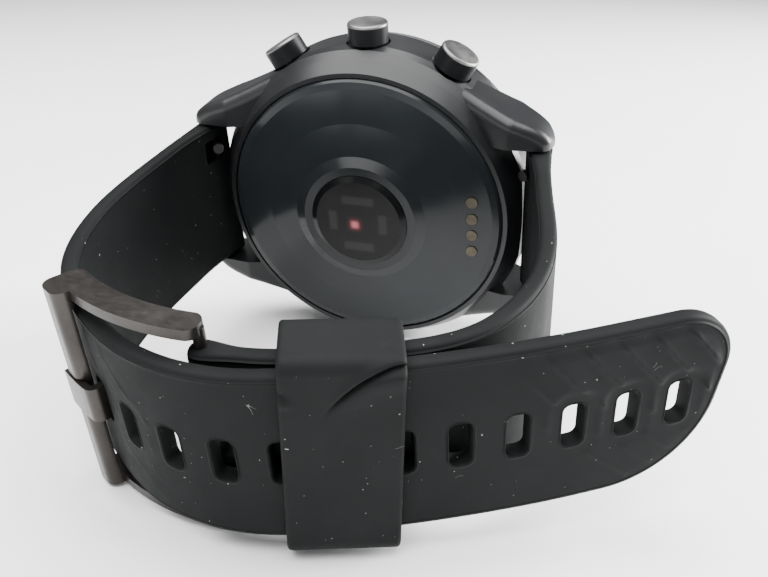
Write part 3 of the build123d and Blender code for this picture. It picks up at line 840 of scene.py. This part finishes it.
def keeper_mesh():
    """A closed band round both straps, creased where its front wall tucks under its top wall."""
    deep = KEEPER_ROOM + KEEPER_WALL
    corners = [(-deep, -KEEPER_HALF), (deep, -KEEPER_HALF), (deep, KEEPER_HALF), (-deep, KEEPER_HALF)]
    path = resample(rounded_polygon(corners, KEEPER_CORNERS, 16), 0.15)
    normal = loop_normals(path)
    creased = (path[:, 0] > 1) & (path[:, 1] > KEEPER_HALF - CREASE_ZONE)
    kept = creased | (np.arange(len(path)) % 3 == 0)
    path, normal = path[kept], normal[kept]
    half = KEEPER_LEN / 2
    r = KEEPER_WALL / 2 - 0.02
    flat = list(np.linspace(-half + r, half - r, 52))
    arc = [math.radians(a) for a in (0, 30, 60, 90, 120, 150, 180)]
    ring = [(x, 0.0) for x in flat]
    ring += [(half - r + r * math.sin(a), -r + r * math.cos(a)) for a in arc[1:]]
    ring += [(x, -2 * r) for x in reversed(flat[:-1])]
    ring += [(-half + r - r * math.sin(a), -r - r * math.cos(a)) for a in arc[1:-1]]
    points = []
    # each point: along the strap, out through the wall, height, then the same wall's outer place and inset
    for (depth, height), (nx, nz) in zip(path, normal):
        for along, inset in ring:
            points.append((along, depth + nx * inset, height + nz * inset, depth, height, inset))
    p = np.array(points)
    outer = np.clip(1 + p[:, 5] / (2 * r), 0, 1)
    down = KEEPER_HALF - p[:, 4]
    front = np.clip((p[:, 3] - deep + 1.6) / 0.8, 0, 1)
    push = crease_relief(p[:, 0] / half, down) * front * (0.15 + 0.85 * outer)
    depth = p[:, 1] + push
    along = p[:, 0]
    height = p[:, 2]
    lean_cos, lean_sin = math.cos(KEEPER_LEAN), math.sin(KEEPER_LEAN)
    along, height = lean_cos * along + lean_sin * height, lean_cos * height - lean_sin * along
    run = np.array([math.cos(KEEPER_ANGLE), math.sin(KEEPER_ANGLE)])
    out = np.array([run[1], -run[0]])
    plan = KEEPER_AT + along[:, None] * run + depth[:, None] * out
    faces = []
    n, m = len(path), len(ring)
    for i in range(n):
        for j in range(m):
            here, there = i * m, ((i + 1) % n) * m
            across = (j + 1) % m
            faces.append((here + j, here + across, there + across, there + j))
    return np.column_stack([plan, height]), faces


points, faces = keeper_mesh()
keeper = make_object("keeper_silicone", to_row(points), faces, "keeper", SILICONE)
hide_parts("strap_keeper")


# ---------------------------------------------------------------- floor, light and camera
def stage_material():
    material, nodes, links, shader = new_material("floor")
    coords = object_coords(nodes)
    slow = noise(nodes, links, coords, 12.0)
    links.new(ramp(nodes, links, slow, 0.3, 0.7, (0.86, 0.86, 0.86), (0.89, 0.89, 0.89)),
              shader.inputs["Base Color"])
    shader.inputs["Roughness"].default_value = 0.7
    return material


def make_floor():
    size = 3.0
    corners = [(-size, -size, 0), (size, -size, 0), (size, size, 0), (-size, size, 0)]
    mesh = bpy.data.meshes.new("floor")
    mesh.from_pydata(corners, [], [(0, 1, 2, 3)])
    mesh.materials.append(stage_material())
    floor = bpy.data.objects.new("floor", mesh)
    bpy.context.scene.collection.objects.link(floor)


def area_light(name, position, target, size, power):
    data = bpy.data.lights.new(name, "AREA")
    data.shape = "RECTANGLE"
    data.size, data.size_y = size
    data.energy = power
    light = bpy.data.objects.new(name, data)
    bpy.context.scene.collection.objects.link(light)
    light.location = position
    light.rotation_euler = (Vector(target) - Vector(position)).to_track_quat("-Z", "Y").to_euler()


def make_world():
    world = bpy.data.worlds.new("studio")
    world.use_nodes = True
    background = world.node_tree.nodes["Background"]
    background.inputs["Color"].default_value = (0.95, 0.97, 1.0, 1)
    background.inputs["Strength"].default_value = 0.3
    bpy.context.scene.world = world


CAMERA_AT = (37.12, -102.16, 59.45)     # in the watch's axes, mm
CAMERA_YAW, CAMERA_PITCH, CAMERA_ROLL = 0.3268, 0.5871, -0.0554
CAMERA_LENS = 40.49


def make_camera():
    """Camera placed in the watch's axes, so that it keeps its view of the watch as it leans."""
    cy, sy = math.cos(CAMERA_YAW), math.sin(CAMERA_YAW)
    cp, sp = math.cos(CAMERA_PITCH), math.sin(CAMERA_PITCH)
    ahead = Vector((-sy * cp, cy * cp, -sp))
    right = Vector((cy, sy, 0.0))
    up = right.cross(ahead)
    cr, sr = math.cos(CAMERA_ROLL), math.sin(CAMERA_ROLL)
    right, up = cr * right + sr * up, cr * up - sr * right
    data = bpy.data.cameras.new("camera")
    data.lens = CAMERA_LENS
    data.sensor_width = 36.0
    data.clip_start = 0.005
    camera = bpy.data.objects.new("camera", data)
    bpy.context.scene.collection.objects.link(camera)
    turned = (Matrix((right, up, -ahead)).transposed())
    matrix = (WATCH.to_3x3() @ turned).to_4x4()
    matrix.translation = Vector(to_row([CAMERA_AT])[0])
    camera.matrix_world = matrix
    bpy.context.scene.camera = camera


make_floor()
make_world()
area_light("top_soft", (-0.05, -0.05, 0.55), (0, 0, 0.02), (0.7, 0.7), 16.0)
area_light("front_left", (-0.35, -0.4, 0.3), (0, 0, 0.02), (0.4, 0.4), 0.6)
area_light("right_rim", (0.42, 0.27, 0.2), (0, 0, 0.02), (0.3, 0.3), 13.0)
area_light("front_strip", (-0.13, -0.55, 0.09), (0, 0, 0.03), (0.4, 0.05), 0.55)
make_camera()
